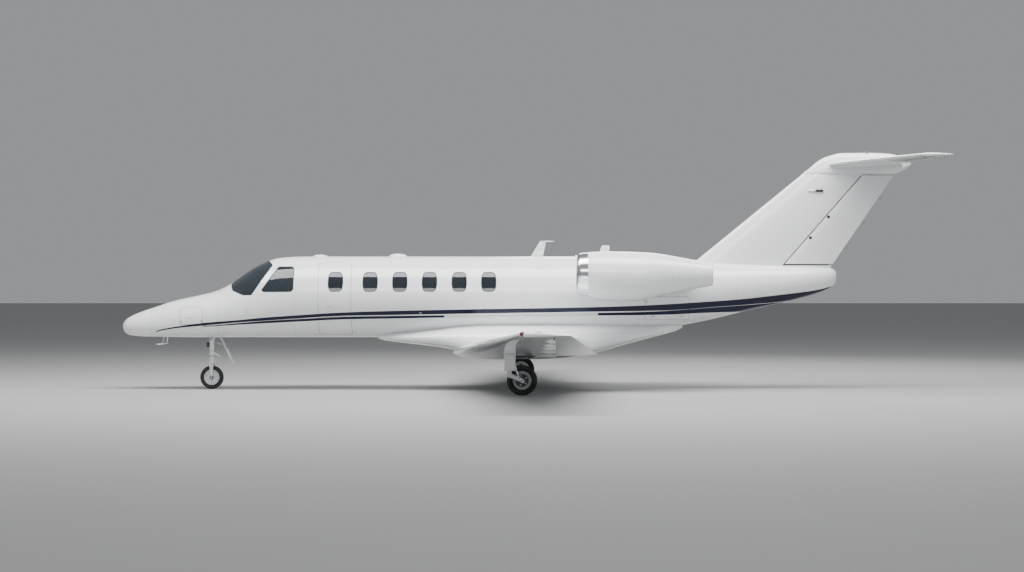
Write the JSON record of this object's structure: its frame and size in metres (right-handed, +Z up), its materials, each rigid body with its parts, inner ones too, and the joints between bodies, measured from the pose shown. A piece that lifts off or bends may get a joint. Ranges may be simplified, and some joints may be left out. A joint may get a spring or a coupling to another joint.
{
  "type": "business jet",
  "caption": "Light T-tail business jet on its landing gear, with engines on the rear fuselage, a low straight wing, a furnished cabin and working doors and control surfaces.",
  "frame": {"origin": "on the ground, on the centre line, half way along the jet", "axes": "+X aft, +Y to starboard, +Z up"},
  "size_m": [15.59, 16.26, 4.612],
  "materials": {
    "body_paint": "glossy white paint with navy stripes",
    "aft_paint": "glossy white paint with navy stripes",
    "surface_paint": "glossy white paint on a light built-up structure",
    "cowl_paint": "glossy white paint, polished lip and tailpipe",
    "window_glass": "clear, lightly tinted",
    "seat_leather": "soft matt leather",
    "floor_structure": "carpet on a metal floor",
    "cabinet_wood": "satin veneer",
    "panel_metal": "matt dark paint",
    "engine_metal": "dark metal",
    "fan_metal": "bare titanium look",
    "gear_metal": "light grey enamel",
    "rim_metal": "painted alloy",
    "tyre_rubber": "black rubber"
  },
  "bodies": {
    "airframe": {"aft_fuselage": "aft_paint", "antenna_front": "surface_paint", "antenna_rear": "surface_paint", "cabin_divider": "cabinet_wood", "cabin_floor": "floor_structure", "cabin_seats_port": "seat_leather", "cabin_seats_starboard": "seat_leather", "cabin_shell": "body_paint", "cabin_windows_port": "window_glass", "cabin_windows_starboard": "window_glass", "cockpit_seat_port": "seat_leather", "cockpit_seat_starboard": "seat_leather", "cockpit_window_port": "window_glass", "cockpit_window_starboard": "window_glass", "engine_block_port": "engine_metal", "engine_block_starboard": "engine_metal", "fin": "surface_paint", "instrument_panel": "panel_metal", "main_gear_door_port": "surface_paint", "main_gear_door_starboard": "surface_paint", "main_leg_port": "gear_metal", "main_leg_starboard": "gear_metal", "main_link_port": "gear_metal", "main_link_starboard": "gear_metal", "nacelle_port": "cowl_paint", "nacelle_starboard": "cowl_paint", "nose_gear_door": "surface_paint", "nose_leg": "gear_metal", "nose_shell": "body_paint", "pylon_port": "surface_paint", "pylon_starboard": "surface_paint", "radome": "surface_paint", "stabilizer": "surface_paint", "tail_cone": "surface_paint", "windshield_port": "window_glass", "windshield_starboard": "window_glass", "wing_fairing": "surface_paint", "wing_port": "surface_paint", "wing_starboard": "surface_paint"},
    "nose_steering": {"nose_fork": "gear_metal"},
    "nose_wheel": {"nose_rim": "rim_metal", "nose_tyre": "tyre_rubber"},
    "rudder": {"rudder": "surface_paint"},
    "cabin_door": {"cabin_door": "body_paint", "door_window": "window_glass"},
    "aft_baggage_door": {"aft_baggage_door": "aft_paint"},
    "main_wheel_port": {"main_port_rim": "rim_metal", "main_port_tyre": "tyre_rubber"},
    "fan_port": {"fan_port": "fan_metal"},
    "flap_port": {"flap_port": "surface_paint"},
    "aileron_port": {"aileron_port": "surface_paint"},
    "elevator_port": {"elevator_port": "surface_paint"},
    "nose_baggage_door_port": {"nose_baggage_door_port": "body_paint"},
    "main_wheel_starboard": {"main_starboard_rim": "rim_metal", "main_starboard_tyre": "tyre_rubber"},
    "fan_starboard": {"fan_starboard": "fan_metal"},
    "flap_starboard": {"flap_starboard": "surface_paint"},
    "aileron_starboard": {"aileron_starboard": "surface_paint"},
    "elevator_starboard": {"elevator_starboard": "surface_paint"},
    "nose_baggage_door_starboard": {"nose_baggage_door_starboard": "body_paint"}
  },
  "joints": [
    {"name": "nose_steering", "type": "hinge", "parent": "airframe", "child": "nose_steering", "pos_m": [-6.055, 0, 0.56], "axis": [0, 0, 1], "range_deg": [-55, 55]},
    {"name": "nose_wheel_spin", "type": "hinge", "parent": "nose_steering", "child": "nose_wheel", "pos_m": [-6.055, 0, 0.2285], "axis": [0, 1, 0], "continuous": true},
    {"name": "main_wheel_port_spin", "type": "hinge", "parent": "airframe", "child": "main_wheel_port", "pos_m": [-0.005, -2.45, 0.2795], "axis": [0, 1, 0], "continuous": true},
    {"name": "main_wheel_starboard_spin", "type": "hinge", "parent": "airframe", "child": "main_wheel_starboard", "pos_m": [-0.005, 2.45, 0.2795], "axis": [0, 1, 0], "continuous": true},
    {"name": "fan_port_spin", "type": "hinge", "parent": "airframe", "child": "fan_port", "pos_m": [1.625, -1.32, 2.2115], "axis": [1, 0, 0], "continuous": true},
    {"name": "fan_starboard_spin", "type": "hinge", "parent": "airframe", "child": "fan_starboard", "pos_m": [1.625, 1.32, 2.2115], "axis": [1, 0, 0], "continuous": true},
    {"name": "flap_port_hinge", "type": "hinge", "parent": "airframe", "child": "flap_port", "pos_m": [0.60545, -2.88455, 0.90116], "axis": [0.0219, 0.9975, -0.0668], "range_deg": [0, 35]},
    {"name": "flap_starboard_hinge", "type": "hinge", "parent": "airframe", "child": "flap_starboard", "pos_m": [0.60545, 2.88455, 0.90116], "axis": [-0.0219, 0.9975, 0.0668], "range_deg": [0, 35]},
    {"name": "aileron_port_hinge", "type": "hinge", "parent": "airframe", "child": "aileron_port", "pos_m": [0.53144, -6.24973, 1.12654], "axis": [0.0219, 0.9975, -0.0668], "range_deg": [-20, 20]},
    {"name": "aileron_starboard_hinge", "type": "hinge", "parent": "airframe", "child": "aileron_starboard", "pos_m": [0.53144, 6.24973, 1.12654], "axis": [-0.0219, 0.9975, 0.0668], "range_deg": [-20, 20]},
    {"name": "elevator_port_hinge", "type": "hinge", "parent": "airframe", "child": "elevator_port", "pos_m": [7.27725, -1.63, 4.385], "axis": [-0.2076, 0.9782, 0], "range_deg": [-20, 15]},
    {"name": "elevator_starboard_hinge", "type": "hinge", "parent": "airframe", "child": "elevator_starboard", "pos_m": [7.27725, 1.63, 4.385], "axis": [0.2076, 0.9782, 0], "range_deg": [-20, 15]},
    {"name": "rudder_hinge", "type": "hinge", "parent": "airframe", "child": "rudder", "pos_m": [5.90532, 0, 3.301], "axis": [0.6567, 0, 0.7541], "range_deg": [-22, 22]},
    {"name": "cabin_door_hinge", "type": "hinge", "parent": "airframe", "child": "cabin_door", "pos_m": [-3.595, -0.30232, 1.07014], "axis": [1, 0, 0], "range_deg": [0, 120]},
    {"name": "nose_baggage_door_port_hinge", "type": "hinge", "parent": "airframe", "child": "nose_baggage_door_port", "pos_m": [-6.3811, -0.44715, 1.59679], "axis": [-0.9582, 0.286, 0], "range_deg": [0, 80]},
    {"name": "nose_baggage_door_starboard_hinge", "type": "hinge", "parent": "airframe", "child": "nose_baggage_door_starboard", "pos_m": [-6.3811, 0.44715, 1.59679], "axis": [0.9582, 0.286, 0], "range_deg": [0, 80]},
    {"name": "aft_baggage_door_hinge", "type": "hinge", "parent": "airframe", "child": "aft_baggage_door", "pos_m": [2.80512, -0.64923, 1.79507], "axis": [-0.9901, -0.1406, 0], "range_deg": [0, 70]}
  ],
  "couplings": [
    {"joint": "flap_starboard_hinge", "follows": "flap_port_hinge", "ratio": 1},
    {"joint": "aileron_starboard_hinge", "follows": "aileron_port_hinge", "ratio": -1},
    {"joint": "elevator_starboard_hinge", "follows": "elevator_port_hinge", "ratio": 1}
  ]
}
